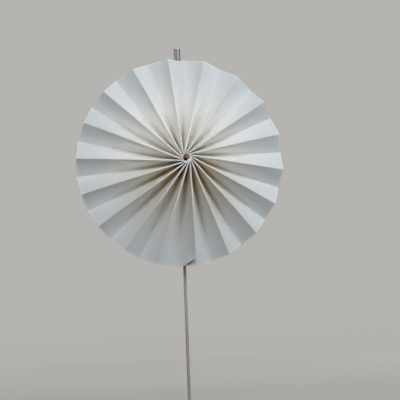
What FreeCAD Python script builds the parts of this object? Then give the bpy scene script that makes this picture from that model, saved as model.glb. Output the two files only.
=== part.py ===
"""Paper rosette topper on a bamboo skewer, as a parametric FreeCAD document (millimetres).

Frame: the skewer's axis is Z and the centre of its lower end is the origin, so the whole topper stands above it.
The rosette lies behind its front, which looks along -Y. X runs to the right seen from the front.

Strips of card, each folded to and fro across its width, are glued end to end into a closed ring. The ring is
pushed flat, so that its inner edges gather round a small hole, the hub, and its outer edges open out to the
zigzag rim. The front folds are ridges and the back folds are valleys. A drinking straw is glued across the back
of the hub, and the skewer sits in the straw's lower part.
"""
import FreeCAD, Part
import math
import os
from FreeCAD import Placement, Rotation, Vector
import Sketcher

doc = FreeCAD.newDocument("paper_topper")

# ---------------------------------------------------------------- driving dimensions

DIMENSIONS = [
    ("rim_radius", 102.5, "outer edge of the pressed-flat ring"),
    ("rim_depth", 14.2, "depth of the zigzag at the rim"),
    ("hub_radius", 4.5, "ring on which the inner ends of the folds lie"),
    ("hub_swirl", 40.0, "degrees by which each fold's inner end runs on past its outer end"),
    ("hub_shift_right", 5.4, "hub from the middle of the rim, along X"),
    ("hub_shift_up", 3.9, "hub from the middle of the rim, along Z"),
    ("hub_past_skewer", 2.9, "hub from the skewer's axis, along X"),
    ("strip_count", 3, "strips of card in the ring"),
    ("pleats_per_strip", 6, "pleats of a strip that show, two facets each"),
    ("card_thickness", 0.2, "card of the strips"),
    ("crease_width", 0.5, "blunt outside of a sharp fold"),
    ("first_ridge_angle", 275.3, "degrees from X to the first ridge, in an even ring"),
    ("uneven_angle", 1.4, "degrees by which hand folding shifts the pleats away from even"),
    ("uneven_towards", 10.0, "degrees from X to the side where they shift the most"),
    ("joint_spread", 1.4, "degrees by which the closing joint pushes the folds on both sides away"),
    ("joint_fade", 58.0, "degrees round the ring over which that push fades"),
    ("length_steps", 6, "straight lengths that follow each fold from hub to rim"),
    ("edge_setback", 0.9, "free end of a strip from the ridge that it is glued up to"),
    ("straw_radius", 3.4, "outside of the straw"),
    ("straw_wall", 0.2, "wall of the straw"),
    ("straw_length", 205.0, "whole straw"),
    ("straw_above_rim", 12.5, "straw that stands clear above the rim"),
    ("glue_bed", 0.5, "glue between the back of the hub and the straw"),
    ("glue_radius", 13.0, "dab of glue on the back of the hub"),
    ("glue_height", 5.6, "thickness of the dab in its middle"),
    ("glue_edge", 1.4, "thickness of the dab at its edge"),
    ("skewer_radius", 1.5, "bamboo stick"),
    ("skewer_length", 300.0, "whole stick with its point"),
    ("skewer_point", 12.0, "length of the sharpened point"),
    ("skewer_tip", 0.3, "radius left at the tip of the point"),
    ("free_stick", 152.5, "stick below the rim"),
    ("plug_length", 9.0, "glue that fills the gap between stick and straw"),
    ("plug_inset", 1.0, "glue from the straw's lower end"),
]

sheet = doc.addObject("Spreadsheet::Sheet", "Dimensions")
for row, (alias, value, meaning) in enumerate(DIMENSIONS, start=1):
    sheet.set(f"A{row}", alias)
    sheet.set(f"B{row}", str(value))
    sheet.setAlias(f"B{row}", alias)
    sheet.set(f"C{row}", meaning)
doc.recompute()


def size(alias):
    """The sheet's value of a driving dimension, as a plain number."""
    return float(sheet.get(alias))


STRAW_BOTTOM = (
    "(Dimensions.free_stick + 2 * Dimensions.rim_radius + Dimensions.straw_above_rim - Dimensions.straw_length)"
)
STRAW_BORE = "(Dimensions.straw_radius - Dimensions.straw_wall)"

# ---------------------------------------------------------------- the fold lines

# The ring has a frame of its own, with its origin in the middle of the rim, halfway through the pleats.

card = size("card_thickness")
rim_radius = size("rim_radius")
hub_radius = size("hub_radius")
length_steps = int(size("length_steps"))
facets_per_strip = 2 * int(size("pleats_per_strip"))
fold_step = 360.0 / (int(size("strip_count")) * facets_per_strip)


def chord(radius):
    """Distance between neighbouring folds at a radius."""
    return 2 * radius * math.sin(math.radians(fold_step / 2))


facet_width = math.hypot(size("rim_depth"), chord(rim_radius))


def pleat_depth(radius):
    """Depth of the zigzag at a radius: a facet keeps its width, so it leans over as the folds spread."""
    return math.sqrt(facet_width**2 - chord(radius) ** 2)


def joint_push(even_angle):
    """Degrees by which a fold gives way to the joint that closes the ring, where the doubled card between the
    last valley and the first ridge holds its pleat open. The push is less for a fold further round the ring."""
    last_valley_angle = size("first_ridge_angle") - fold_step
    away = (even_angle - last_valley_angle + 180) % 360 - 180
    if abs(away) < fold_step / 2:
        return 0.0
    return math.copysign(size("joint_spread") * math.exp(-abs(away) / size("joint_fade")), away)


def fold_angle(fold):
    """Direction of a fold's outer end from the middle of the rim, in degrees. Even folds are ridges."""
    even_angle = size("first_ridge_angle") + fold_step * fold
    uneven = size("uneven_angle") * math.cos(math.radians(even_angle - size("uneven_towards")))
    return even_angle - uneven + joint_push(even_angle)


def on_circle(radius, degrees):
    """A point of a circle in the plane of the ring."""
    angle = math.radians(degrees)
    return Vector(radius * math.cos(angle), 0, radius * math.sin(angle))


def fold_point(fold, share):
    """A point of a fold, from its hub end (share 0) to its rim end (share 1). Seen from the front every fold is
    straight. A ridge stands half the pleat's depth in front of the ring's middle, and a valley as far behind."""
    hub = Vector(size("hub_shift_right"), 0, size("hub_shift_up"))
    hub_end = hub + on_circle(hub_radius, fold_angle(fold) + size("hub_swirl"))
    rim_end = on_circle(rim_radius, fold_angle(fold))
    point = hub_end + (rim_end - hub_end) * share
    side = -1 if fold % 2 == 0 else 1
    point.y = side * pleat_depth(hub_radius + (rim_radius - hub_radius) * share) / 2
    return point


def along_fold(fold):
    """Unit direction of a fold from the hub to the rim."""
    return (fold_point(fold, 1) - fold_point(fold, 0)).normalize()


def across_fold(fold):
    """Unit direction in the plane of the ring, square to a fold, towards the next fold."""
    along = along_fold(fold)
    return Vector(-along.z, 0, along.x).normalize()


# ---------------------------------------------------------------- a strip of card


def facet_ends(fold, share, finish_setback=0.0):
    """Both ends of the middle line of the facet between a fold and the next. They stop at the blunt creases,
    and the setback shortens the facet further, along its own width."""
    half_crease = size("crease_width") / 2
    start = fold_point(fold, share) + across_fold(fold) * half_crease
    finish = fold_point(fold + 1, share) - across_fold(fold + 1) * half_crease
    return [start, finish - (finish - start).normalize() * finish_setback]


def facets_line(first_fold, last_fold, share):
    """Middle line of the card from a facet to the last facet of its strip, which ends short of the ridge."""
    points = []
    for fold in range(first_fold, last_fold):
        points += facet_ends(fold, share)
    return points + facet_ends(last_fold, share, size("edge_setback"))


def front_normal(start, finish, fold):
    """Unit normal of the card between two corners, on the side that shows from the front."""
    return along_fold(fold).cross(finish - start).normalize()


def card_sides(points, folds):
    """The front and back corners of the card along its middle line. They are mitred, so that the card keeps
    its thickness round every crease. Each stretch of the line has its own fold, which it runs square to."""
    normals = [front_normal(start, finish, fold) for start, finish, fold in zip(points, points[1:], folds)]
    front, back = [], []
    for point, before, after in zip(points, normals[:1] + normals, normals + normals[-1:]):
        mitre = (before + after) * (card / 2 / (1 + before.dot(after)))
        front.append(point + mitre)
        back.append(point - mitre)
    return front, back


def tab_seat(first_fold, share):
    """Back corners of the facet that a strip's tab is glued behind: the last facet of the strip before."""
    points = facets_line(first_fold - 2, first_fold - 1, share)
    front, back = card_sides(points, [first_fold - 2, first_fold - 1, first_fold - 1])
    return back[-2:]


def strip_sides(first_fold, share):
    """The front and back corners of a whole strip at one share of its folds: the tab, face to face with its
    seat, the short stretch of it that reaches on to the ridge, and then the facets that show."""
    seat = tab_seat(first_fold, share)
    normal = front_normal(seat[0], seat[1], first_fold - 1)
    ridge = facet_ends(first_fold - 1, share)[1] - normal * card
    points = [corner - normal * card / 2 for corner in seat] + [ridge]
    folds = [first_fold - 1, first_fold - 1, first_fold]
    last_fold = first_fold + facets_per_strip - 1
    points += facets_line(first_fold, last_fold, share)
    for fold in range(first_fold, last_fold):
        folds += [fold, fold + 1]
    front, back = card_sides(points, folds + [last_fold])
    return seat + front[2:], back


def triangle(first, second, third):
    return Part.Face(Part.makePolygon([first, second, third, first]))


def skin(line, other_line):
    """Flat triangles between two lines of corners, two to each four corners, because a facet twists as it leans
    over. Their shared edge runs the same way on both sides of the card, which keeps its thickness even."""
    faces = []
    for first, second, third, fourth in zip(line, line[1:], other_line, other_line[1:]):
        faces.append(triangle(first, second, fourth))
        faces.append(triangle(first, fourth, third))
    return faces


def strip_solid(first_fold):
    """One folded strip as a closed solid: the skin of both its sides from hub to rim, and its four cut edges."""
    sections = [strip_sides(first_fold, step / length_steps) for step in range(length_steps + 1)]
    faces = []
    for (inner_front, inner_back), (outer_front, outer_back) in zip(sections, sections[1:]):
        faces += skin(inner_front, outer_front)
        faces += skin(inner_back, outer_back)
        for tip in (0, -1):
            faces += skin([inner_front[tip], inner_back[tip]], [outer_front[tip], outer_back[tip]])
    for front, back in (sections[0], sections[-1]):
        faces += skin(front, back)
    solid = Part.Solid(Part.Shell(faces))
    if solid.Volume < 0:
        solid.reverse()
    return solid


def make_strips():
    """The strips of the ring, set so that the back of the hub lies one bed of glue in front of the straw."""
    back_of_hub = pleat_depth(hub_radius) / 2 + card / 2
    ring_place = Vector(
        size("hub_past_skewer") - size("hub_shift_right"),
        -size("straw_radius") - size("glue_bed") - back_of_hub,
        size("free_stick") + rim_radius,
    )
    strips = []
    for number in range(int(size("strip_count"))):
        strip = doc.addObject("Part::Feature", f"rosette_strip_{number + 1}")
        strip.Label = f"rosette_strip_{number + 1}"
        strip.Shape = strip_solid(number * facets_per_strip)
        strip.Placement = Placement(ring_place, Rotation())
        strips.append(strip)
    return strips


# ---------------------------------------------------------------- sketches and bodies


def new_body(name, place_expressions):
    """An empty body of the document, placed by expressions for its Placement's Base."""
    body = doc.addObject("PartDesign::Body", name)
    body.Label = name
    for axis, expression in place_expressions.items():
        body.setExpression(f"Placement.Base.{axis}", expression)
    return body


def new_sketch(body, plane_role, name):
    """A sketch of a body on one of the body's own origin planes."""
    sketch = body.newObject("Sketcher::SketchObject", name)
    plane = next(feature for feature in body.Origin.OriginFeatures if feature.Role == plane_role)
    sketch.AttachmentSupport = [(plane, "")]
    sketch.MapMode = "FlatFace"
    return sketch


def bind(sketch, constraint, expression):
    """Adds a constraint whose value follows the sheet."""
    index = sketch.addConstraint(constraint)
    sketch.setExpression(f"Constraints[{index}]", expression)


def circle_at(sketch, radius, radius_expression, centre_x=0.0, centre_y=0.0):
    """A circle bound to the sheet, with its index returned for further constraints."""
    circle = sketch.addGeometry(Part.Circle(Vector(centre_x, centre_y, 0), Vector(0, 0, 1), radius), False)
    bind(sketch, Sketcher.Constraint("Radius", circle, radius), radius_expression)
    return circle


def make_tube(name, outer, outer_expression, inner, inner_expression, length_expression, bottom_expression):
    """A plain tube on the skewer's axis."""
    body = new_body(name, {"z": bottom_expression})
    sketch = new_sketch(body, "XY_Plane", f"{name}_ring")
    for radius, expression in ((outer, outer_expression), (inner, inner_expression)):
        circle = circle_at(sketch, radius, expression)
        sketch.addConstraint(Sketcher.Constraint("Coincident", circle, 3, -1, 1))
    pad = body.newObject("PartDesign::Pad", f"{name}_pad")
    pad.Profile = sketch
    pad.setExpression("Length", length_expression)
    return body


def make_straw():
    """The drinking straw, open at both ends."""
    outer = size("straw_radius")
    return make_tube(
        "straw_sleeve",
        outer,
        "Dimensions.straw_radius",
        outer - size("straw_wall"),
        STRAW_BORE,
        "Dimensions.straw_length",
        STRAW_BOTTOM,
    )


def make_plug():
    """Glue between the skewer and the straw, just inside the straw's lower end."""
    return make_tube(
        "sleeve_glue",
        size("straw_radius") - size("straw_wall"),
        STRAW_BORE,
        size("skewer_radius"),
        "Dimensions.skewer_radius",
        "Dimensions.plug_length",
        f"{STRAW_BOTTOM} + Dimensions.plug_inset",
    )


def add_polyline(sketch, corners):
    """Straight edges through all corners and back to the first, joined end to start."""
    lines = []
    for start, finish in zip(corners, corners[1:] + corners[:1]):
        lines.append(sketch.addGeometry(Part.LineSegment(Vector(*start, 0), Vector(*finish, 0)), False))
    for line, following in zip(lines, lines[1:] + lines[:1]):
        sketch.addConstraint(Sketcher.Constraint("Coincident", line, 2, following, 1))
    return lines


def pin_corner(sketch, line, across, up):
    """Ties the start of a line to its distances from the sketch's axes, each (value, expression)."""
    for kind, (value, expression) in (("DistanceX", across), ("DistanceY", up)):
        bind(sketch, Sketcher.Constraint(kind, -1, 1, line, 1, value), expression)


def revolve(body, sketch, name):
    """Turns a half profile once round the upright axis of its sketch."""
    revolution = body.newObject("PartDesign::Revolution", name)
    revolution.Profile = sketch
    revolution.ReferenceAxis = (sketch, ["V_Axis"])
    revolution.Angle = 360
    return revolution


def make_skewer():
    """The bamboo stick, cut square at its lower end and sharpened at the end inside the straw."""
    body = new_body("bamboo_skewer", {})
    sketch = new_sketch(body, "XZ_Plane", "skewer_profile")
    radius, tip = size("skewer_radius"), size("skewer_tip")
    length = size("skewer_length")
    shoulder = length - size("skewer_point")
    lines = add_polyline(sketch, [(0, 0), (radius, 0), (radius, shoulder), (tip, length), (0, length)])
    whole = (length, "Dimensions.skewer_length")
    sketch.addConstraint(Sketcher.Constraint("Coincident", lines[0], 1, -1, 1))
    sketch.addConstraint(Sketcher.Constraint("Horizontal", lines[0]))
    sketch.addConstraint(Sketcher.Constraint("Vertical", lines[1]))
    pin_corner(
        sketch,
        lines[2],
        (radius, "Dimensions.skewer_radius"),
        (shoulder, "Dimensions.skewer_length - Dimensions.skewer_point"),
    )
    pin_corner(sketch, lines[3], (tip, "Dimensions.skewer_tip"), whole)
    sketch.addConstraint(Sketcher.Constraint("Horizontal", lines[3]))
    sketch.addConstraint(Sketcher.Constraint("Vertical", lines[4]))
    revolve(body, sketch, "skewer_turned")
    return body


def make_hub_glue():
    """The dab of glue on the back of the hub: a low dome with a flat front on the back folds and a groove for
    the straw, which leaves a bed of glue under the straw. The dome's own Z is the model's +Y."""
    body = new_body(
        "hub_glue",
        {
            "x": "Dimensions.hub_past_skewer",
            "y": "-Dimensions.straw_radius - Dimensions.glue_bed",
            "z": "Dimensions.free_stick + Dimensions.rim_radius + Dimensions.hub_shift_up",
        },
    )
    body.Placement.Rotation = Rotation(Vector(1, 0, 0), -90)
    radius, edge, height = size("glue_radius"), size("glue_edge"), size("glue_height")
    profile = new_sketch(body, "XZ_Plane", "dab_profile")
    dome = Part.Arc(
        Vector(radius, edge, 0),
        Vector(radius * math.sin(math.radians(45)), edge + (height - edge) / 2, 0),
        Vector(0, height, 0),
    )
    front = profile.addGeometry(Part.LineSegment(Vector(0, 0, 0), Vector(radius, 0, 0)), False)
    side = profile.addGeometry(Part.LineSegment(Vector(radius, 0, 0), Vector(radius, edge, 0)), False)
    arc = profile.addGeometry(dome, False)
    axis = profile.addGeometry(Part.LineSegment(Vector(0, height, 0), Vector(0, 0, 0)), False)
    profile.addConstraint(Sketcher.Constraint("Coincident", front, 1, -1, 1))
    profile.addConstraint(Sketcher.Constraint("Coincident", front, 2, side, 1))
    profile.addConstraint(Sketcher.Constraint("Coincident", side, 2, arc, 1))
    profile.addConstraint(Sketcher.Constraint("Coincident", arc, 2, axis, 1))
    profile.addConstraint(Sketcher.Constraint("Coincident", axis, 2, front, 1))
    profile.addConstraint(Sketcher.Constraint("Horizontal", front))
    profile.addConstraint(Sketcher.Constraint("Vertical", side))
    profile.addConstraint(Sketcher.Constraint("Vertical", axis))
    profile.addConstraint(Sketcher.Constraint("PointOnObject", arc, 3, -2))
    bind(profile, Sketcher.Constraint("DistanceX", front, 1, front, 2, radius), "Dimensions.glue_radius")
    bind(profile, Sketcher.Constraint("DistanceY", side, 1, side, 2, edge), "Dimensions.glue_edge")
    bind(profile, Sketcher.Constraint("DistanceY", axis, 2, axis, 1, height), "Dimensions.glue_height")
    revolve(body, profile, "dab_turned")

    groove_sketch = new_sketch(body, "XZ_Plane", "straw_groove")
    straw_radius = size("straw_radius")
    straw_height = straw_radius + size("glue_bed")
    circle = circle_at(
        groove_sketch, straw_radius, "Dimensions.straw_radius", -size("hub_past_skewer"), straw_height
    )
    bind(
        groove_sketch,
        Sketcher.Constraint("DistanceX", circle, 3, -1, 1, size("hub_past_skewer")),
        "Dimensions.hub_past_skewer",
    )
    bind(
        groove_sketch,
        Sketcher.Constraint("DistanceY", -1, 1, circle, 3, straw_height),
        "Dimensions.straw_radius + Dimensions.glue_bed",
    )
    groove = body.newObject("PartDesign::Pocket", "straw_groove_cut")
    groove.Profile = groove_sketch
    groove.Type = "ThroughAll"
    groove.Midplane = True
    return body


# ---------------------------------------------------------------- build, check and write

sub_parts = make_strips() + [make_straw(), make_skewer(), make_hub_glue(), make_plug()]
doc.recompute()

for item in doc.Objects:
    if "Invalid" in item.State or "Error" in item.State:
        raise RuntimeError(f"{item.Label} failed to compute: {item.State}")
for sub_part in sub_parts:
    shape = sub_part.Shape
    if shape.isNull() or not shape.isValid() or shape.Volume <= 0:
        raise RuntimeError(f"{sub_part.Label} has no sound shape")

os.makedirs("parts", exist_ok=True)
for sub_part in sub_parts:
    sub_part.Shape.exportStep(f"parts/{sub_part.Label}.step")
    print(f"{sub_part.Label}: {sub_part.Shape.Volume:.1f} mm3")
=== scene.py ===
"""Paper rosette topper on a bamboo skewer, dressed for the studio.

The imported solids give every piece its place: the skewer's axis is Z, its lower end is the origin, and the
front of the rosette looks along -Y. Each solid is replaced by a finer surface of the same form: the three
strips of folded card, the straw, the skewer, the dab of glue on the back of the hub and the glue in the
straw's lower end. Soft forms come with them: round creases, bowed facets, a curled corner at the closing
joint, and glue that has come through the hub's hole.
"""
import math

import bpy
import numpy as np
from mathutils import Matrix, Vector


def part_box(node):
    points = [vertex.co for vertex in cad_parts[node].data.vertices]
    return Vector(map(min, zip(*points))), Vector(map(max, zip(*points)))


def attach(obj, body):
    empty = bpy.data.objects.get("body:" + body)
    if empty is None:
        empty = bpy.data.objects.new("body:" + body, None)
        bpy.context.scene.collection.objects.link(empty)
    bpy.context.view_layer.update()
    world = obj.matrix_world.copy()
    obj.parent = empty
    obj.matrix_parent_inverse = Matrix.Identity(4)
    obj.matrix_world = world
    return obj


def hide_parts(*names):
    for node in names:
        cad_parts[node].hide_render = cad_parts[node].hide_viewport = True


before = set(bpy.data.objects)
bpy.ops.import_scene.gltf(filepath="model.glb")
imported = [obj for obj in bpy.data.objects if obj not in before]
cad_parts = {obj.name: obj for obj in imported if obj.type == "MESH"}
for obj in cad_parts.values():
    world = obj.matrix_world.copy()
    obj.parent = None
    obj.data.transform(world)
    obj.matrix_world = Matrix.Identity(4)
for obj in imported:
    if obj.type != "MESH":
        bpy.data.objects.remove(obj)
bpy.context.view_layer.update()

MM = 0.001

# ---------------------------------------------------------------- driving sizes, in mm and degrees

RIM_RADIUS = 102.5
RIM_DEPTH = 14.2
HUB_RADIUS = 4.5
HUB_SWIRL = 40.0
HUB_SHIFT = (5.4, 3.9)
STRIPS = 3
FACETS_PER_STRIP = 12
FACETS = STRIPS * FACETS_PER_STRIP
FOLD_STEP = 360.0 / FACETS
FOLD_LENGTH = RIM_RADIUS - HUB_RADIUS
CARD = 0.2

# The folds' directions: the first ridge, a slow drift round the ring, and the push of the closing joint.
FIRST_RIDGE_ANGLE = 275.3
UNEVEN_ANGLE = 1.4
UNEVEN_TOWARDS = 10.0
JOINT_SPREAD = 1.4
JOINT_FADE = 58.0

STRAW_WALL = 0.2
SKEWER_POINT = 12.0
SKEWER_TIP = 0.3


def box_mm(node):
    """Lowest and highest corner of a solid, in millimetres."""
    low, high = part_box(node)
    return np.array(low) / MM, np.array(high) / MM


straw_low, straw_high = box_mm("straw_sleeve")
skewer_low, skewer_high = box_mm("bamboo_skewer")
dab_low, dab_high = box_mm("hub_glue")
plug_low, plug_high = box_mm("sleeve_glue")
strip_boxes = [box_mm(f"rosette_strip_{number + 1}") for number in range(STRIPS)]
ring_low = np.min([low for low, high in strip_boxes], axis=0)
ring_high = np.max([high for low, high in strip_boxes], axis=0)

STRAW_RADIUS = (straw_high[0] - straw_low[0]) / 2
SKEWER_RADIUS = (skewer_high[0] - skewer_low[0]) / 2
HUB_X = (dab_low[0] + dab_high[0]) / 2
HUB_Z = (dab_low[2] + dab_high[2]) / 2
RING_X = HUB_X - HUB_SHIFT[0]
RING_Z = HUB_Z - HUB_SHIFT[1]
RING_Y = (ring_low[1] + ring_high[1]) / 2


# ---------------------------------------------------------------- meshes


def mesh_object(name, points, faces):
    """A smooth object made of points in millimetres and of faces, which are rows of vertex numbers."""
    mesh = bpy.data.meshes.new(name)
    mesh.from_pydata((np.asarray(points) * MM).tolist(), [], [tuple(face) for face in faces])
    mesh.polygons.foreach_set("use_smooth", np.full(len(mesh.polygons), True))
    mesh.update()
    piece = bpy.data.objects.new(name, mesh)
    bpy.context.scene.collection.objects.link(piece)
    return piece


def grid_faces(rows, columns, closed_rows=False, closed_columns=False):
    """Quads of a grid with vertex number row * columns + column. A closed way runs back to its start."""
    row = np.arange(rows if closed_rows else rows - 1)[:, None]
    column = np.arange(columns if closed_columns else columns - 1)[None, :]
    next_row, next_column = (row + 1) % rows, (column + 1) % columns
    corners = [
        row * columns + column,
        next_row * columns + column,
        next_row * columns + next_column,
        row * columns + next_column,
    ]
    return np.stack(np.broadcast_arrays(*corners), axis=-1).reshape(-1, 4)


def round_faces(rings, sides):
    """Faces of a closed round body: its vertices are a pole, rings of so many sides and a second pole."""
    side = np.arange(sides)
    next_side = (side + 1) % sides
    last_ring, last_pole = 1 + (rings - 1) * sides, 1 + rings * sides
    first_cap = np.stack([0 * side, 1 + side, 1 + next_side], axis=-1)
    last_cap = np.stack([last_pole + 0 * side, last_ring + next_side, last_ring + side], axis=-1)
    return [*first_cap, *(1 + grid_faces(rings, sides, closed_columns=True)), *last_cap]


def paint(piece, name, values):
    """Stores one number per vertex under a name that a finish can read."""
    attribute = piece.data.attributes.new(name, "FLOAT", "POINT")
    attribute.data.foreach_set("value", np.asarray(values, dtype=np.float32).ravel())


def unit(vectors):
    """Vectors along the last axis, brought to length 1."""
    return vectors / np.linalg.norm(vectors, axis=-1, keepdims=True)


def smooth_step(values, start, finish):
    """Rises from 0 at start to 1 at finish, level at both ends: 3 t^2 - 2 t^3."""
    share = np.clip((values - start) / (finish - start), 0.0, 1.0)
    return share * share * (3.0 - 2.0 * share)


def full_turn(sides):
    """Angles of so many sides, evenly round."""
    return np.linspace(0.0, 2 * math.pi, sides, endpoint=False)


# ---------------------------------------------------------------- the folds of the card


def chord(radius):
    """Distance between neighbouring folds at a radius: 2 r sin(half the step between folds)."""
    return 2 * radius * math.sin(math.radians(FOLD_STEP / 2))


FACET_WIDTH = math.hypot(RIM_DEPTH, chord(RIM_RADIUS))

# Places along a fold are shares: 0 at the hub's radius, 1 at the rim. The pleats run on a little inside
# the hub's radius, and lose some of their depth there.
PAST_HUB = 1.3
INNER_END = -PAST_HUB / FOLD_LENGTH
HUB_FLATTENING = 1.2
FLATTENED_TO = 0.02


def fold_angles(folds):
    """Direction of each fold's outer end, in degrees: even steps, less a slow cosine drift, plus the push
    of the closing joint, which fades exponentially with the distance round the ring."""
    even = FIRST_RIDGE_ANGLE + FOLD_STEP * folds
    away = (even - (FIRST_RIDGE_ANGLE - FOLD_STEP) + 180) % 360 - 180
    push = np.sign(away) * JOINT_SPREAD * np.exp(-np.abs(away) / JOINT_FADE)
    push = np.where(np.abs(away) < FOLD_STEP / 2, 0.0, push)
    return even - UNEVEN_ANGLE * np.cos(np.radians(even - UNEVEN_TOWARDS)) + push


def on_circle(radius, degrees):
    """Points (x, z) of a circle."""
    angle = np.radians(degrees)
    return np.stack([radius * np.cos(angle), radius * np.sin(angle)], axis=-1)


def fold_lines(folds, shares):
    """Points of the folds, folds by shares by xyz: straight from hub to rim seen from the front, at half
    the pleat's depth before (ridge) or behind (valley) the ring's middle. The depth is sqrt(facet width^2
    - chord^2), less the flattening times (1 - smooth rise)^2 near the inner end."""
    angles = fold_angles(folds)
    hub_end = np.array(HUB_SHIFT) + on_circle(HUB_RADIUS, angles + HUB_SWIRL)
    rim_end = on_circle(RIM_RADIUS, angles)
    flat = hub_end[:, None] + (rim_end - hub_end)[:, None] * shares[None, :, None]
    depth = np.sqrt(FACET_WIDTH**2 - chord(HUB_RADIUS + FOLD_LENGTH * shares) ** 2)
    depth = depth - HUB_FLATTENING * (1.0 - smooth_step(shares, INNER_END, FLATTENED_TO)) ** 2
    side = np.where(folds % 2 == 0, -1.0, 1.0)
    y = side[:, None] * depth[None, :] / 2
    return np.stack([flat[..., 0], y, flat[..., 1]], axis=-1)


# ---------------------------------------------------------------- the facets between the folds

# Where the grid's columns lie along a fold, with a finer zone at the rim, and its rows across a facet, in
# millimetres from each fold. The free edge is cut a little before the closing fold.
EDGE_SETBACK = 0.9
RIM_ZONE = 0.87
INNER_COLUMNS = 73
RIM_COLUMNS = 42
ROWS_FROM_FOLD = np.array([0.0, 0.06, 0.16, 0.32, 0.55, 0.85, 1.3, 2.0, 3.2, 5.0, 7.5])
FINE_STEP = 0.3
END_SHARE = 1.0 - EDGE_SETBACK / FACET_WIDTH
LEAST_SHARE_TO_EDGE = 0.005

# The crease loops: heights in millimetres at the inner end, where they are widest, and at the rim, with
# the shares between which they are widest and from which they are small.
LOOP_AT_END = 0.26
LOOP_WIDEST = 0.60
LOOP_AT_RIM = 0.13
WIDEST_FROM, WIDEST_TO, SMALL_FROM = 0.06, 0.12, 0.8
LEAST_REACH = 0.3
BULGE_FADE = 4.5

# The bow of the facets: how far the lower ones sag inwards and the upper ones stand outwards, how far
# neighbours on the left bow opposite ways, the wave along each, and the shares over which they come up.
SAG = 0.8
OPPOSITE_BOW = 0.6
OPPOSITE_FACET = 29
OPPOSITE_SPREAD = 3.5
WAVE = 0.12
BOW_SHARES = (0.15, 0.9)

# The nick in the rim: its facet, its place across it, its depth, and the share from which the rim dips.
NICK_FACET = 17
NICK_PLACE = 0.32
NICK_DEPTH = 1.3
NICK_FROM = 0.9


def along_shares():
    """Shares from the inner end to the rim. Up to the rim's zone they grow as 0.4 t + 0.6 t^2, so that
    they lie closer together near the hub, and over the last millimetres they are even and fine."""
    even = np.linspace(0.0, 1.0, INNER_COLUMNS)
    inner = INNER_END + (RIM_ZONE - INNER_END) * (0.4 * even + 0.6 * even**2)
    return np.concatenate([inner, np.linspace(RIM_ZONE, 1.0, RIM_COLUMNS)[1:]])


def facet_shares(fine):
    """Shares across one facet from its first fold to just before the next: closer together near both
    folds, or evenly fine where the facet's corner curls."""
    if fine:
        return np.arange(0.0, FACET_WIDTH - FINE_STEP / 2, FINE_STEP) / FACET_WIDTH
    half = ROWS_FROM_FOLD / FACET_WIDTH
    return np.concatenate([half, [0.5], (1.0 - half[:0:-1])])


def strip_rows(closing):
    """The facet that each row of a strip lies on, counted from the strip's tab, and the row's share
    across it. The last row is the strip's cut edge, a little before its last fold."""
    last = FACETS_PER_STRIP
    across = [facet_shares(closing and facet == last) for facet in range(last + 1)]
    facet = np.repeat(np.arange(last + 1), [len(part) for part in across])
    share = np.concatenate(across)
    keep = (facet < last) | (share < END_SHARE - LEAST_SHARE_TO_EDGE)
    return np.append(facet[keep], last), np.append(share[keep], END_SHARE)


def loop_height(shares):
    """Height of the crease loops in millimetres: small where the pleats press together at the hub, widest
    a little outside it, small again at the rim."""
    rise = smooth_step(shares, INNER_END, WIDEST_FROM)
    fall = smooth_step(shares, WIDEST_TO, SMALL_FROM)
    return LOOP_AT_END + (LOOP_WIDEST - LOOP_AT_END) * rise - (LOOP_WIDEST - LOOP_AT_RIM) * fall


def loop_bulge(distance, height):
    """How far a facet stands off a sharp fold at a distance from it: a quarter ellipse that rises to the
    height, then dies away exponentially along the facet."""
    reach = np.maximum(height, LEAST_REACH)
    z = np.clip(distance / reach, 0.0, 1.0)
    rise = np.sqrt(z * (2.0 - z))
    return height * rise * np.exp(-np.clip(distance - reach, 0.0, None) / BULGE_FADE)


def facet_bow(facets, share, shares):
    """Unevenness of hand-folded card: each facet bows by its own amount, amount * sin(pi * place across).
    The lower facets sag inwards and the upper ones stand outwards, and to the left neighbours bow
    opposite ways. A weaker wave runs along each. All die away towards the hub and at the folds."""
    turn = 2 * math.pi * (facets - 1) / FACETS
    opposite = (1.0 - 2.0 * (facets % 2)) * np.exp(-(((facets - OPPOSITE_FACET) / OPPOSITE_SPREAD) ** 2))
    amount = OPPOSITE_BOW * opposite - SAG * np.cos(turn)
    wave = WAVE * np.sin(1.7 * facets + 7.0 * shares)
    return (amount + wave) * np.sin(math.pi * share) * smooth_step(shares, *BOW_SHARES)


def rim_nick(share, shares):
    """How far the hand-cut rim of one facet dips towards the hub, in millimetres: a straight slope from
    one fold down to the nick and a steeper one up to the other, over the outer tenth of the facet."""
    slope = np.where(share > NICK_PLACE, (1.0 - share) / (1.0 - NICK_PLACE), share / NICK_PLACE)
    return NICK_DEPTH * slope * smooth_step(shares, NICK_FROM, 1.0)


# ---------------------------------------------------------------- the free corner at the closing joint

# The corner's crease starts on the rim, this far across from the edge, and ends on the edge, this far up.
CORNER_ACROSS = 12.0
CORNER_UP = 7.0
CURL_RADIUS = 1.05

# The card lifts towards the crease, between these distances past it and from the edge.
CORNER_LIFT = 1.3
LIFT_PAST_CREASE = (-8.0, 1.0)
LIFT_FROM_EDGE = (-1.0, 6.0)

# The free edge gapes more and more over these shares, and less with the distance from the edge.
GAPE = 0.4
GAPE_FADE = 1.5
GAPE_SHARES = (0.5, 0.9)


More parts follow.
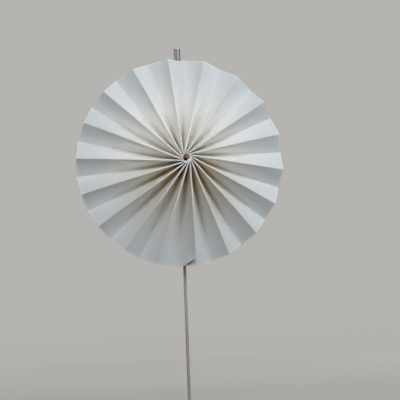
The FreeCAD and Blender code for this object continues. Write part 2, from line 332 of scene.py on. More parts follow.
def curl_corner(points, from_edge, from_rim, towards_valley, towards_hub):
    """Curls the free corner of the closing facet forwards. The crease runs slantwise across the corner;
    beyond it the card follows a circle: foot + R sin(d / R) along + R (1 - cos(d / R)) forwards, where d
    is the distance past the crease. Before the crease the card lifts gently towards it."""
    length = math.hypot(CORNER_ACROSS, CORNER_UP)
    across, up = CORNER_UP / length, CORNER_ACROSS / length
    past = across * CORNER_ACROSS - across * from_edge - up * from_rim
    along = unit(-across * towards_valley - up * towards_hub)
    forwards = unit(np.cross(towards_hub, towards_valley))
    forwards = forwards * -np.sign(forwards[1])
    d = np.clip(past, 0.0, None)[..., None]
    angle = d / CURL_RADIUS
    curl = CURL_RADIUS * (np.sin(angle) * along + (1 - np.cos(angle)) * forwards)
    foot_from_edge = from_edge + across * d[..., 0]
    lift = CORNER_LIFT * smooth_step(past, *LIFT_PAST_CREASE)
    lift = lift * smooth_step(foot_from_edge, *LIFT_FROM_EDGE)
    return points - d * along + curl + lift[..., None] * forwards


def free_end(points, share, shares, lines):
    """The last facet of the closing strip. Its edge gapes forwards by gape * exp(-distance / fade), more
    towards the rim, and its corner curls."""
    from_edge = (END_SHARE - share[:, None]) * FACET_WIDTH + 0 * shares
    from_rim = (1.0 - shares)[None, :] * FOLD_LENGTH + 0 * from_edge
    gape = GAPE * np.exp(-from_edge / GAPE_FADE) * smooth_step(shares, *GAPE_SHARES)
    points = points + np.array([0.0, -1.0, 0.0]) * gape[..., None]
    towards_valley = unit(lines[-2, -1] - lines[-1, -1])
    towards_hub = unit((lines[-2, 0] + lines[-1, 0]) - (lines[-2, -1] + lines[-1, -1]))
    return curl_corner(points, from_edge, from_rim, towards_valley, towards_hub)


# ---------------------------------------------------------------- the strips of card

# The tab comes forward by the card's thickness between these distances before its second fold.
TAB_STEP = (0.9, 0.2)


def strip_surface(number):
    """Middle surface of one strip of card, rows across the folds by columns from hub to rim, with the
    place of each row counted in facets. Facets run between the folds and bow a little. Near a fold both
    facets stand off it, which makes a small round loop of the crease. The last strip has the free end."""
    shares = along_shares()
    closing = number == STRIPS - 1
    facet, share = strip_rows(closing)
    first = number * FACETS_PER_STRIP - 1
    lines = fold_lines(first + np.arange(FACETS_PER_STRIP + 2), shares)
    start = lines[facet]
    step = lines[facet + 1] - start
    outwards = start[:, -1:] - start[:, :1]
    from_start = share[:, None] * FACET_WIDTH
    height = loop_height(shares)
    bulge = loop_bulge(from_start, height) - loop_bulge(FACET_WIDTH - from_start, height)
    sideways = unit(step * np.array([1.0, 0.0, 1.0]))
    bow = facet_bow(((first + facet) % FACETS)[:, None], share[:, None], shares[None, :])
    facing = unit(np.cross(step, outwards))
    nick = rim_nick(share[:, None], shares[None, :]) * (first + facet == NICK_FACET)[:, None]
    middle = start + step * share[:, None, None]
    middle = middle + sideways * bulge[..., None] + facing * bow[..., None]
    middle = middle - unit(outwards) * nick[..., None]
    if closing:
        last = facet == FACETS_PER_STRIP
        middle[last] = free_end(middle[last], share[last], shares, lines)
    return middle, first + facet + share, shares


def middle_directions(points, axis):
    """Unit tangents of a grid's lines along an axis: the mean of the directions to both neighbours."""
    steps = unit(np.diff(points, axis=axis))
    first, last = np.take(steps, [0], axis=axis), np.take(steps, [-1], axis=axis)
    return unit(np.concatenate([first, steps], axis=axis) + np.concatenate([steps, last], axis=axis))


def surface_normals(points):
    """Unit normals of a grid of rows and columns: the cross product of its tangents."""
    return unit(np.cross(middle_directions(points, 1), middle_directions(points, 0)))


def card_strip(number):
    """One strip of card: front and back skins half the card's thickness either side of the middle
    surface, closed by its cut edges. Behind the last facet of the strip before it, its tab lies one
    thickness back. Painted on it: the distance from the nearest fold, how near a valley it is (each skin
    has its own valleys), how far out, and how high round the hub."""
    middle, place, shares = strip_surface(number)
    normals = surface_normals(middle)
    from_tab_valley = (place - place[0]) * FACET_WIDTH
    tab = 1.0 - smooth_step(from_tab_valley, *(FACET_WIDTH - distance for distance in TAB_STEP))
    middle = middle - normals * (CARD * tab)[:, None, None] + np.array([RING_X, RING_Y, RING_Z])
    front, back = middle + normals * (CARD / 2), middle - normals * (CARD / 2)
    around = np.concatenate([front, back[::-1]])
    rows, columns = around.shape[:2]
    row = np.arange(len(front) - 1)
    hub_edge = np.stack([row, row + 1, rows - 2 - row, rows - 1 - row], axis=-1) * columns
    rim_edge = hub_edge[:, ::-1] + columns - 1
    skins = grid_faces(rows, columns, closed_rows=True)[:, ::-1]
    faces = np.concatenate([skins, hub_edge, rim_edge])
    piece = mesh_object(f"card_strip_{number + 1}", around.reshape(-1, 3), faces)
    fold = np.abs(place - np.round(place)) * FACET_WIDTH
    valley = np.abs(place - 2 * np.round(place / 2))
    for name, across, behind in (("from_fold", fold, fold), ("valley", valley, 1.0 - valley)):
        spread = [np.broadcast_to(values[:, None], front.shape[:2]) for values in (across, behind[::-1])]
        paint(piece, name, np.concatenate(spread))
    paint(piece, "outward", np.broadcast_to(shares, around.shape[:2]))
    from_hub = around - np.array([HUB_X, 0.0, HUB_Z])
    paint(piece, "upward", 0.5 + 0.5 * from_hub[..., 2] / np.hypot(from_hub[..., 0], from_hub[..., 2]))
    return piece


# ---------------------------------------------------------------- straw, skewer and the glue between them


def turned(name, radii, heights, sides, closed=True):
    """A profile of radii and heights carried once round the skewer's axis. A closed profile runs back to
    its start, and the two ends of an open one are closed by flat faces."""
    angle = full_turn(sides)[:, None]
    points = np.stack([radii * np.cos(angle), radii * np.sin(angle), heights + 0 * angle], axis=-1)
    faces = list(grid_faces(sides, len(radii), closed_rows=True, closed_columns=closed))
    if not closed:
        start = np.arange(sides) * len(radii)
        faces += [start[::-1], start + len(radii) - 1]
    return mesh_object(name, points.reshape(-1, 3), faces)


def straw_tube():
    """The straw: a thin wall between its bore and its outside, with both cut ends a little rounded.
    Painted on it: the distance from the nearest end, and lengthwise bands of painted reflection made of
    three cosines."""
    inner, sides, rounding = STRAW_RADIUS - STRAW_WALL, 72, 0.06
    low, high = straw_low[2], straw_high[2]
    near_end = np.array([0.12, 0.5, 1.0])
    between = np.linspace(1.5, high - low - 1.5, 54)
    levels = low + np.concatenate([near_end, between, high - low - near_end[::-1]])
    outside = np.full(len(levels), STRAW_RADIUS)
    outside[[0, -1]] -= rounding / 3
    bore = np.full(len(levels), inner)
    top_edge = [STRAW_RADIUS - rounding, inner + rounding]
    radii = np.concatenate([[inner + rounding], outside, top_edge, bore])
    heights = np.concatenate([[low], levels, [high, high], levels[::-1]])
    piece = turned("straw_tube", radii, heights, sides)
    paint(piece, "from_end", np.tile(np.minimum(heights - low, high - heights), sides))
    # Painted reflection: light and dark lengthwise bands round the straw.
    turn = full_turn(sides) + math.radians(73.0)
    bands = 0.5 + 0.3 * np.cos(6 * turn) + 0.12 * np.cos(11 * turn + 0.7) + 0.08 * np.cos(17 * turn + 2.0)
    paint(piece, "reflection_band", np.repeat(bands, len(radii)))
    return piece


def skewer_stick():
    """The bamboo stick: a round rod whose lower end is a little rounded and whose upper end thins evenly
    to the point's tip. Each end is a flat face inside a small ring."""
    top, sides, end_ring = skewer_high[2], 20, 0.02
    shoulder = top - SKEWER_POINT
    levels = np.concatenate([np.linspace(0.25, shoulder, 120), np.linspace(shoulder + 1.5, top, 9)])
    along_point = np.clip((levels - shoulder) / SKEWER_POINT, 0.0, 1.0)
    radii = SKEWER_RADIUS + (SKEWER_TIP - SKEWER_RADIUS) * along_point
    heights = np.concatenate([[0.0, 0.0], levels, [top]])
    radii = np.concatenate([[end_ring, SKEWER_RADIUS - 0.2], radii, [end_ring]])
    return turned("skewer_stick", radii, heights, sides, closed=False)


def sleeve_plug():
    """Glue between stick and straw, its ends drawn in like a meniscus by 0.9 sin(pi * share) mm."""
    outer = (plug_high[0] - plug_low[0]) / 2
    share = np.linspace(0.0, 1.0, 8)
    sag = 0.9 * np.sin(math.pi * share)
    radii = SKEWER_RADIUS + 0.01 + (outer - SKEWER_RADIUS - 0.02) * share
    heights = np.concatenate([plug_low[2] + sag, (plug_high[2] - sag)[::-1]])
    return turned("sleeve_glue_plug", np.concatenate([radii, radii[::-1]]), heights, 32)


# ---------------------------------------------------------------- the glue at the hub

HOLE_RADIUS = 3.6

# The core in the hole: its radius, how far the middle of its head lies behind the ring's front and its
# foot behind the dab's, how much wider the foot is, and the head's slant, lumps and dish.
CORE_RADIUS = 3.45
CORE_HEAD_BACK = 5.6
CORE_FOOT_BACK = 0.6
CORE_SPREAD = 1.02
CORE_SLANT = 3.0
CORE_LUMPS = 0.35
CORE_DISH = 0.9

# The bead below the hole: half its length, depth and height, its tilt in degrees, its lumps as a share of
# its radius, and its place right of the hub's centre, behind the ring's front and above the centre.
BEAD_HALF_AXES = np.array([2.7, 1.2, 1.5])
BEAD_TILT = -20.0
BEAD_LUMPS = 0.2
BEAD_PLACE = (0.4, 1.9, -4.4)

# The white ring round the hole: its radius, how far it lies behind the rosette's front, where it starts,
# how far it turns and how long its tips are in degrees, its half thickness and how that varies, and the
# swelling at its lower right: where it is, how far it spreads, how thick it is and how far inwards.
RIM_RING_RADIUS = 4.1
RIM_RING_BACK = 0.85
RIM_RING_START = -228.0
RIM_RING_TURN = 318.0
RIM_RING_TIP = 1.5
RIM_RING_HALF = 0.6
RIM_RING_VARIES = 0.25
SWELLING_ANGLE = -50.0
SWELLING_SPREAD = 30.0
SWELLING_HALF = 0.75
SWELLING_INWARDS = 0.65

# The dome at the back: the thickness of its edge, and its play round the straw.
DOME_EDGE = 1.4
STRAW_PLAY = 0.03


def hole_core():
    """Glue that has risen into the hole of the hub: a column with a slanting, lumpy head, high at its
    upper right. The head is y = middle - slant (x + z) / R + lumps sin(2.1 x + 0.4) cos(1.9 z) + dish
    (r / R)^4, on rings of radius R sin(pi/2 * ring / rings)."""
    rings, sides = 9, 36
    head_y, foot_y = ring_low[1] + CORE_HEAD_BACK, dab_low[1] + CORE_FOOT_BACK
    angle = full_turn(sides)[None, :]
    size = CORE_RADIUS * np.sin(0.5 * math.pi * np.arange(1, rings + 1) / rings)[:, None]
    x, z = size * np.cos(angle), size * np.sin(angle)
    uneven = CORE_LUMPS * np.sin(2.1 * x + 0.4) * np.cos(1.9 * z) + CORE_DISH * (size / CORE_RADIUS) ** 4
    head = np.stack([x, head_y - CORE_SLANT * (x + z) / CORE_RADIUS + uneven, z], axis=-1)
    foot = np.stack([x[-1] * CORE_SPREAD, np.full(sides, foot_y), z[-1] * CORE_SPREAD], axis=-1)
    points = np.concatenate([[[0.0, head_y, 0.0]], head.reshape(-1, 3), foot, [[0.0, foot_y, 0.0]]])
    return points + np.array([HUB_X, 0.0, HUB_Z]), round_faces(rings + 1, sides)


def front_bead():
    """A small milky bead of glue that has come through between the pleats under the hole: a tilted
    ellipsoid whose radius carries lumps, 1 + lumps sin(3 turn + 0.5) sin(2 rise)."""
    rings, sides, tilt = 11, 24, math.radians(BEAD_TILT)
    rise = math.pi * (np.arange(1, rings + 1) / (rings + 1))[:, None]
    turn = full_turn(sides)[None, :]
    radius = 1.0 + BEAD_LUMPS * np.sin(3 * turn + 0.5) * np.sin(2 * rise)
    ball = [np.sin(rise) * np.cos(turn), np.cos(rise) + 0 * turn, np.sin(rise) * np.sin(turn)]
    body = (np.stack(ball, axis=-1) * radius[..., None]).reshape(-1, 3)
    x, y, z = (np.concatenate([[[0.0, 1.0, 0.0]], body, [[0.0, -1.0, 0.0]]]) * BEAD_HALF_AXES).T
    tilted = [x * math.cos(tilt) - z * math.sin(tilt), y, x * math.sin(tilt) + z * math.cos(tilt)]
    place = np.array([HUB_X, ring_low[1], HUB_Z]) + BEAD_PLACE
    return np.stack(tilted, axis=-1) + place, round_faces(rings, sides)


def hole_rim():
    """Dried white glue round the hole: a ring's arc that starts and ends at the upper left, in degrees of
    turn. Its half thickness is (half + varies cos turn) sin(pi * share)^0.4, so it grows from left to
    right, and a swelling, bell-shaped along the arc, reaches over the hole's lower right."""
    steps, sides, front_y = 60, 14, ring_low[1] + RIM_RING_BACK
    share = (np.arange(1, steps + 1) / (steps + 1))[:, None]
    degrees = RIM_RING_START + RIM_RING_TURN * share
    turn = np.radians(degrees)
    swelling = np.exp(-(((degrees - SWELLING_ANGLE) / SWELLING_SPREAD) ** 2))
    half = (RIM_RING_HALF + RIM_RING_VARIES * np.cos(turn)) * np.sin(math.pi * share) ** 0.4
    around = full_turn(sides)[None, :]
    middle = RIM_RING_RADIUS - SWELLING_INWARDS * swelling
    reach = middle + (half + SWELLING_HALF * swelling) * np.cos(around)
    y = front_y - (0.9 * half + 0.2 * swelling) * np.sin(around)
    arc = np.stack([reach * np.cos(turn), y, reach * np.sin(turn)], axis=-1)
    ends = RIM_RING_START + np.array([-RIM_RING_TIP, RIM_RING_TURN + RIM_RING_TIP])
    tips = on_circle(RIM_RING_RADIUS, ends)
    tips = np.stack([tips[:, 0], [front_y, front_y], tips[:, 1]], axis=-1)
    points = np.concatenate([tips[:1], arc.reshape(-1, 3), tips[1:]])
    return points + np.array([HUB_X, 0.0, HUB_Z]), round_faces(steps, sides)


def back_dome():
    """The dome of glue on the back of the hub: rows from left to right, closest beside the straw, each a
    closed loop over the flat front and back along the dome. Its thickness is edge + rise (1 - (r /
    R)^2)^0.7 with low lumps, its outline is ragged, and it is hollowed out to fit the straw."""
    radius = (dab_high[0] - dab_low[0]) / 2
    front_y, height = dab_low[1], dab_high[1] - dab_low[1]
    beside = np.concatenate([[1.2, 2.2, 2.9], STRAW_RADIUS + np.array([-0.02, 0.04, 0.5, 1.2])])
    to_left = np.linspace(STRAW_RADIUS + 2.0, radius - HUB_X - 0.25, 9)
    to_right = np.linspace(STRAW_RADIUS + 2.0, radius + HUB_X - 0.25, 12)
    x = np.concatenate([-to_left[::-1], -beside[::-1], [0.0], beside, to_right])[:, None]
    half = np.sqrt(np.clip(radius**2 - (x - HUB_X) ** 2, 0.0, None))
    share = np.linspace(-1.0, 1.0, 41)[None, :]
    ragged = -0.05 + 0.035 * np.sin(x * 0.7 + 1.0) * np.sign(share) + 0.02 * np.sin(x * 1.5)
    z = HUB_Z + half * share * (1.0 + ragged * np.abs(share) ** 3)
    distance = np.hypot(x - HUB_X, z - HUB_Z) / radius
    dome = DOME_EDGE + (height - DOME_EDGE) * np.clip(1 - distance**2, 0.0, 1.0) ** 0.7
    dome = dome * (0.93 + 0.06 * np.sin(1.1 * x + 0.7) * np.cos(0.8 * z))
    under_straw = -front_y - np.sqrt(np.clip(STRAW_RADIUS**2 - x**2, 0.0, None)) - STRAW_PLAY
    dome = np.where(np.abs(x) < STRAW_RADIUS, np.minimum(dome, under_straw), dome)
    front, back = (np.stack([x + 0 * z, front_y + lift, z], axis=-1) for lift in (0 * z, dome))
    around = np.concatenate([front, back[:, ::-1]], axis=1)
    rows, columns = around.shape[:2]
    first_cap = np.arange(columns)
    last_cap = ((rows - 1) * columns + first_cap)[::-1]
    faces = [*grid_faces(rows, columns, closed_columns=True), first_cap, last_cap]
    return around.reshape(-1, 3), faces


def hub_dab():
    """All the glue at the hub as one piece. Painted on it: how pale each body is (dome and core 0, bead
    0.6, ring 1), what lies in the hole, and how sunk it is there, most at the lower left, for painted
    shade."""
    bodies = [back_dome(), hole_core(), front_bead(), hole_rim()]
    tones = [0.0, 0.0, 0.6, 1.0]
    counts = [len(points) for points, faces in bodies]
    starts = np.cumsum([0] + counts[:-1])
    points = np.concatenate([points for points, faces in bodies])
    faces = [face + start for (_, faces), start in zip(bodies, starts) for face in faces]
    piece = mesh_object("hub_glue_dab", points, faces)
    paint(piece, "pale", np.repeat(tones, counts))
    x, z = points[:, 0] - HUB_X, points[:, 2] - HUB_Z
    in_hole = np.hypot(x, z) < HOLE_RADIUS
    # Painted shade: how sunk the glue in the hole is, most at the lower left, darkens it in the finish.
    paint(piece, "sunk", smooth_step(-0.6 * x - z, -2.4, 1.0) * in_hole)
    paint(piece, "in_hole", in_hole * (points[:, 1] < dab_low[1]))
    return piece


# ---------------------------------------------------------------- sheets of nodes


class Value:
    """A node's output that takes part in Python expressions, which add Math nodes to its sheet."""

    def __init__(self, sheet, socket):
        self.sheet = sheet
        self.socket = socket

    def __add__(self, other):
        return self.sheet.maths("ADD", self, other)

    def __radd__(self, other):
        return self.sheet.maths("ADD", other, self)

    def __sub__(self, other):
        return self.sheet.maths("SUBTRACT", self, other)

    def __rsub__(self, other):
        return self.sheet.maths("SUBTRACT", other, self)

    def __mul__(self, other):
        return self.sheet.maths("MULTIPLY", self, other)

    def __rmul__(self, other):
        return self.sheet.maths("MULTIPLY", other, self)


class Sheet:
    """A sheet of nodes, of a material or of the world."""

    def __init__(self, tree):
        self.tree = tree

    def node(self, kind, settings=None, inputs=None, output=0):
        """Adds a node with these settings and inputs, by name or number, and returns one output."""
        node = self.tree.nodes.new("ShaderNode" + kind)
        for name, value in (settings or {}).items():
            setattr(node, name, value)
        for key, value in (inputs or {}).items():
            if isinstance(value, Value):
                self.tree.links.new(value.socket, node.inputs[key])
            else:
                node.inputs[key].default_value = value
        return Value(self, node.outputs[output])

    def maths(self, operation, *values):
        """A Math node on these values."""
        return self.node("Math", {"operation": operation}, dict(enumerate(values)))

    def seen(self):
        """1 for what the camera sees, straight, in a reflection or through something clear, and 0 for
        what only lights other surfaces."""
        rays = ("Camera", "Glossy", "Transmission")
        straight, mirrored, through = (self.node("LightPath", output=f"Is {ray} Ray") for ray in rays)
        return self.maths("MAXIMUM", straight, self.maths("MAXIMUM", mirrored, through))

    def surface(self, shader, output):
        """Links a shader to the sheet's output node."""
        self.tree.links.new(shader.socket, self.tree.nodes[output].inputs["Surface"])


class Finish(Sheet):
    """The sheet of one material, with one principled shader. Constants go straight onto its sockets."""

    def __init__(self, name, **constants):
        self.material = bpy.data.materials.new(name)
        self.material.use_nodes = True
        super().__init__(self.material.node_tree)
        self.shader = self.tree.nodes["Principled BSDF"]
        for socket, value in constants.items():
            self.shader.inputs[socket.replace("_", " ")].default_value = value

    def attribute(self, name):
        """A number painted on the piece."""
        return self.node("Attribute", {"attribute_name": name}, output="Fac")

    def place(self, scale=(1.0, 1.0, 1.0)):
        """Object coordinates in metres, stretched."""
        coordinates = self.node("TexCoord", output="Object")
        return self.node("VectorMath", {"operation": "MULTIPLY"}, {0: coordinates, 1: scale})

    def noise(self, per_metre, detail, stretch=(1.0, 1.0, 1.0), roughness=0.5):
        """Noise between 0 and 1 with so many blotches to the metre."""
        sockets = {"Scale": per_metre, "Detail": detail, "Roughness": roughness}
        return self.node("TexNoise", inputs={"Vector": self.place(stretch), **sockets})

    def step(self, value, start, finish):
        """0 below start, 1 above finish, smooth between."""
        settings = {"interpolation_type": "SMOOTHSTEP"}
        return self.node("MapRange", settings, {0: value, 1: start, 2: finish})

    def mix(self, share, first, second):
        """A colour between two."""
        colours = [c if isinstance(c, Value) else (*c, 1.0) for c in (first, second)]
        return self.node("Mix", {"data_type": "RGBA"}, {0: share, 6: colours[0], 7: colours[1]}, output=2)

    def bump(self, height, distance, strength):
        """A normal that follows a height between 0 and 1, in metres from lowest to highest."""
        sockets = {"Height": height, "Distance": distance, "Strength": strength}
        self.feed("Normal", self.node("Bump", inputs=sockets))

    def feed(self, socket, value):
        """Links a varying value to the shader."""
        self.tree.links.new(value.socket, self.shader.inputs[socket])


# ---------------------------------------------------------------- finishes


def card_finish():
    """White card with faint fibre mottling, and painted light and shade: a cooler, greyer white at the rim
    and a cream towards the hub, lighter in the upper half and darker in the lower; painted shade in warm
    brown where the pleats close up deep inside; a painted highlight along the ridges; and a paler cut edge,
    partly its own and partly a painted highlight. A little light passes through it, by the same short way
    for all colours."""
    finish = Finish(
        "warm_white_card",
        Roughness=0.82,
        Specular_IOR_Level=0.3,
        Subsurface_Weight=1.0,
        Subsurface_Radius=(1.0, 1.0, 1.0),
        Subsurface_Scale=0.0003,
    )
    cool_white, ridge_highlight_white, pale_edge_and_highlight = (0.723, 0.748, 0.768), (0.95, 0.945, 0.92), (0.95, 0.95, 0.94)
    lower_shaded_cream, upper_lit_cream = (0.695, 0.675, 0.63), (0.93, 0.92, 0.90)
    lower_valley_shade, upper_valley_light = (0.90, 0.69, 0.43), (1.0, 0.94, 0.81)
    fibre_grey = (0.60, 0.575, 0.53)
    outward, upward = finish.attribute("outward"), finish.attribute("upward")
    valley, from_fold = finish.attribute("valley"), finish.attribute("from_fold")
    # Painted light: a cooler, greyer white at the rim and a cream towards the hub, lighter in the upper
    # half and darker in the lower, as light falls from above.
    cream = finish.mix(finish.step(upward, 0.1, 0.6), lower_shaded_cream, upper_lit_cream)
    tone = finish.mix(finish.step(1.0 - outward, 0.05, 0.65), cool_white, cream)
    # Painted shade: deep in the pleats near the hub the card turns warm brown in the lower half and a light
    # cream in the upper half.
    near = finish.step(1.0 - outward, 0.45, 0.95)
    deep = finish.step(valley + near * 0.35, 0.3, 1.0) * near
    brown = finish.mix(finish.step(upward, 0.0, 0.7), lower_valley_shade, upper_valley_light)
    tone = finish.mix(deep * 0.9, tone, brown)
    # Painted highlight: the ridges turn paler towards the hub.
    ridge = (1.0 - finish.step(from_fold, 0.3, 1.3)) * (1.0 - finish.step(valley, 0.1, 0.3))
    tone = finish.mix(ridge * finish.step(1.0 - outward, 0.35, 0.8) * 0.8, tone, ridge_highlight_white)
    # The cut edge at the rim is paler, partly the card's own cut edge and partly a painted highlight, which
    # is stronger on the lower rim.
    border = finish.step(outward, 0.986, 0.991) * (0.75 - upward * 0.5)
    tone = finish.mix(border, tone, pale_edge_and_highlight)
    fibre = finish.noise(1100.0, 4.0, roughness=0.65)
    grain = finish.step(finish.noise(55.0, 3.0), 0.3, 0.7) * 0.5 + finish.step(fibre, 0.35, 0.65) * 0.5
    finish.feed("Base Color", finish.mix(grain * 0.13, tone, fibre_grey))
    finish.bump(fibre, 0.00008, 0.6)
    return finish.material


def straw_finish():
    """Smoky frosted plastic with fine lengthwise streaks and dark smudges, lengthwise bands of painted
    reflection, and a painted highlight that makes it paler at the cut ends.
    """
    finish = Finish("frosted_straw", Roughness=0.3, Alpha=0.93, Specular_IOR_Level=0.6)
    smoke, frost_and_reflection = (0.12, 0.12, 0.115), (0.42, 0.42, 0.40)
    dirt, end_highlight_white = (0.13, 0.125, 0.115), (0.62, 0.62, 0.60)
    streak = finish.noise(900.0, 3.0, (1.0, 1.0, 0.03))
    # Painted reflection: the painted bands, with fine streaks, lighten the straw lengthwise.
    light = finish.attribute("reflection_band") * 0.75 + streak * 0.25
    tone = finish.mix(finish.step(light, 0.25, 0.75), smoke, frost_and_reflection)
    smudge = finish.step(finish.noise(300.0, 3.0), 0.56, 0.70)
    tone = finish.mix(smudge * 0.5, tone, dirt)
    # Painted highlight: the straw turns paler near its cut ends.
    cut = 1.0 - finish.step(finish.attribute("from_end"), 0.3, 0.8)
    finish.feed("Base Color", finish.mix(cut, tone, end_highlight_white))
    return finish.material


def bamboo_finish():
    """Pale dry bamboo: fine fibres along the stick, with a few darker flecks."""
    finish = Finish("dry_bamboo", Roughness=0.55, Specular_IOR_Level=0.45)
    dark_fibre, pale_fibre, fleck_brown = (0.42, 0.385, 0.335), (0.72, 0.69, 0.64), (0.13, 0.10, 0.07)
    fibre = finish.noise(2500.0, 3.0, (1.0, 1.0, 0.02))
    patch = finish.noise(40.0, 2.0, (1.0, 1.0, 0.5))
    grain = finish.step(fibre, 0.3, 0.7) * 0.65 + patch * 0.35
    fleck = finish.step(finish.noise(160.0, 2.0, (2.0, 2.0, 0.6)), 0.66, 0.72)
    tone = finish.mix(grain, dark_fibre, pale_fibre)
    finish.feed("Base Color", finish.mix(fleck * 0.6, tone, fleck_brown))
    finish.bump(fibre, 0.00012, 0.8)
    return finish.material


def glue_finish():
    """Amber hot glue, cloudy. In the hub's hole it is warmer, and painted shade darkens it to deep brown
    where it is sunk; the bead at the front is milky grey, and the ring round the hole is white."""
    finish = Finish("amber_glue", Roughness=0.24, Specular_IOR_Level=0.45)
    dark_amber, light_amber = (0.56, 0.42, 0.25), (0.76, 0.64, 0.45)
    dark_warm, light_warm, hole_shade_brown = (0.62, 0.36, 0.12), (0.84, 0.56, 0.26), (0.085, 0.022, 0.002)
    dark_milk, light_milk, white = (0.36, 0.36, 0.33), (0.72, 0.72, 0.69), (0.97, 0.965, 0.95)
    cloud = finish.noise(250.0, 2.0)
    # Painted shade: in the hole the glue darkens to deep brown where it is sunk.
    hole = finish.mix(finish.attribute("sunk"), finish.mix(cloud, dark_warm, light_warm), hole_shade_brown)
    amber = finish.mix(finish.attribute("in_hole"), finish.mix(cloud, dark_amber, light_amber), hole)
    milky = finish.mix(finish.step(finish.noise(900.0, 2.0), 0.35, 0.65), dark_milk, light_milk)
    pale = finish.attribute("pale")
    tone = finish.mix(finish.step(pale, 0.0, 0.5), amber, milky)
    finish.feed("Base Color", finish.mix(finish.step(pale, 0.7, 1.0), tone, white))
    finish.bump(cloud, 0.0004, 0.6)
    return finish.material


# ---------------------------------------------------------------- camera, floor and lamps

VIEW_AZIMUTH = -7.30
VIEW_ELEVATION = -1.81
VIEW_ROLL = -2.12
VIEW_DISTANCE = 1324.6
VIEW_TARGET = (17.9, 0.0, 217.8)
VIEW_WIDTH = 400.0
BACKGROUND = (0.46, 0.455, 0.44)

# The even light from all round, and the soft lamps: azimuth, elevation, level and colour of each.
SKY_LEVEL = 0.08
SKY_COLOUR = (1.0, 0.92, 0.78)
SOFTBOX_DISTANCE = 450.0
SOFTBOX_WIDTH = 250.0
SOFTBOXES = {
    "upper_lamp": (14.0, 31.0, 0.48, (0.88, 0.93, 1.0)),
    "left_lamp": (-30.0, 22.0, 0.245, (0.99, 1.0, 0.95)),
    "right_lamp": (56.0, 10.0, 0.225, (0.96, 0.99, 1.0)),
    "back_lamp": (180.0, 30.0, 0.70, (0.98, 0.99, 1.0)),
}

# The floor, with the distances in metres over which its glow comes up and over which it fades out.
FLOOR_RADIUS = 3000.0
FLOOR_BOUNCE = (0.20, 0.18, 0.155)
FLOOR_COLOUR = (0.62, 0.615, 0.60)
FLOOR_GLOW = (0.1, 0.75)
FLOOR_GLOW_STRENGTH = 0.82
FLOOR_FADE = (0.7, 1.5)


def direction(azimuth, elevation):
    """Unit vector towards a place so far round the object (0 in front, 90 on the right) and so far up."""
    across, up = math.radians(azimuth), math.radians(elevation)
    return Vector((math.sin(across) * math.cos(up), -math.cos(across) * math.cos(up), math.sin(up)))


def make_camera():
    """The camera, aimed at its target from an azimuth and an elevation and rolled about its own axis."""
    back = direction(VIEW_AZIMUTH, VIEW_ELEVATION)
    data = bpy.data.cameras.new("camera")
    data.sensor_width = 36.0
    data.lens = data.sensor_width * VIEW_DISTANCE / VIEW_WIDTH
    data.clip_start, data.clip_end = 0.05, 30.0
    camera = bpy.data.objects.new("camera", data)
    bpy.context.scene.collection.objects.link(camera)
    turn = (-back).to_track_quat("-Z", "Y").to_matrix() @ Matrix.Rotation(math.radians(VIEW_ROLL), 3, "Z")
    place = Matrix.Translation((Vector(VIEW_TARGET) + back * VIEW_DISTANCE) * MM)
    camera.matrix_world = place @ turn.to_4x4()
    bpy.context.scene.camera = camera


def make_softbox(name, azimuth, elevation, level, colour):
    """A round soft lamp near the rosette, out of the camera's sight. It lights a white surface that faces
    it from the ring's middle to the level: its energy is level * (pi * distance)^2."""
    data = bpy.data.lights.new(name, "AREA")
    data.shape = "DISK"
    data.size = SOFTBOX_WIDTH * MM
    data.energy = level * (math.pi * SOFTBOX_DISTANCE * MM) ** 2
    data.color = colour
    lamp = bpy.data.objects.new(name, data)
    lamp.visible_camera = False
    bpy.context.scene.collection.objects.link(lamp)
    towards = direction(azimuth, elevation)
    lamp.location = (Vector((RING_X, RING_Y, RING_Z)) + towards * SOFTBOX_DISTANCE) * MM
    lamp.rotation_euler = (-towards).to_track_quat("-Z", "Y").to_euler()


def make_world():
    """Even light from all round, and the plain background that the camera sees, also in reflections."""
    world = bpy.data.worlds.new("world")
    world.use_nodes = True
    sheet = Sheet(world.node_tree)
    sky = sheet.node("Background", inputs={"Color": (*SKY_COLOUR, 1.0), "Strength": SKY_LEVEL})
    plain = sheet.node("Background", inputs={"Color": (*BACKGROUND, 1.0)})
    sheet.surface(sheet.node("MixShader", inputs={0: sheet.seen(), 1: sky, 2: plain}), "World Output")
    bpy.context.scene.world = world


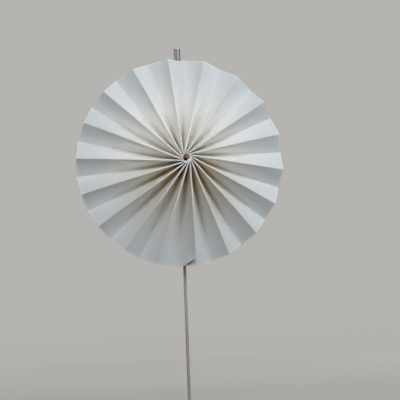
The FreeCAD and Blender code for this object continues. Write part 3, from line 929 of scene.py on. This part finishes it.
def make_floor():
    """A round floor under the stick that fades out into the plain background: rings of points round a
    flat middle. The camera sees it pale, and it glows up to the background's tone away from the stick,
    while the light that it throws back is that of a darker floor."""
    rings, sides = 11, 96
    radius = np.linspace(0.0, FLOOR_RADIUS, rings + 1)[1:]
    angle = full_turn(sides)
    around = [np.outer(radius, np.cos(angle)), np.outer(radius, np.sin(angle)), np.zeros((rings, sides))]
    faces = [*grid_faces(rings, sides, closed_columns=True), np.arange(sides)]
    floor = mesh_object("studio_floor", np.stack(around, axis=-1).reshape(-1, 3), faces)
    finish = Finish(
        "pale_floor",
        Roughness=0.9,
        Specular_IOR_Level=0.0,
        Emission_Strength=FLOOR_GLOW_STRENGTH,
    )
    seen = finish.seen()
    away = finish.node("VectorMath", {"operation": "LENGTH"}, {0: finish.place()}, output="Value")
    finish.feed("Base Color", finish.mix(seen, FLOOR_BOUNCE, FLOOR_COLOUR))
    glow = finish.step(away, *FLOOR_GLOW) * seen
    finish.feed("Emission Color", finish.mix(glow, (0.0, 0.0, 0.0), BACKGROUND))
    solid, clear = Value(finish, finish.shader.outputs[0]), finish.node("BsdfTransparent")
    faded = finish.node("MixShader", inputs={0: finish.step(away, *FLOOR_FADE), 1: solid, 2: clear})
    finish.surface(faded, "Material Output")
    floor.data.materials.append(finish.material)


make_camera()
make_floor()
make_world()
for name, (azimuth, elevation, level, colour) in SOFTBOXES.items():
    make_softbox(name, azimuth, elevation, level, colour)


# ---------------------------------------------------------------- the pieces

card, glue = card_finish(), glue_finish()
PIECES = [(card_strip(number), f"rosette_strip_{number + 1}", "card", card) for number in range(STRIPS)]
PIECES += [
    (straw_tube(), "straw_sleeve", "straw", straw_finish()),
    (skewer_stick(), "bamboo_skewer", "bamboo", bamboo_finish()),
    (hub_dab(), "hub_glue", "glue", glue),
    (sleeve_plug(), "sleeve_glue", "glue", glue),
]
for piece, node, slot, material in PIECES:
    piece.data.materials.append(material)
    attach(piece, "root")
    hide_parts(node)

bpy.context.scene.view_settings.view_transform = "Standard"

bpy.context.view_layer.update()
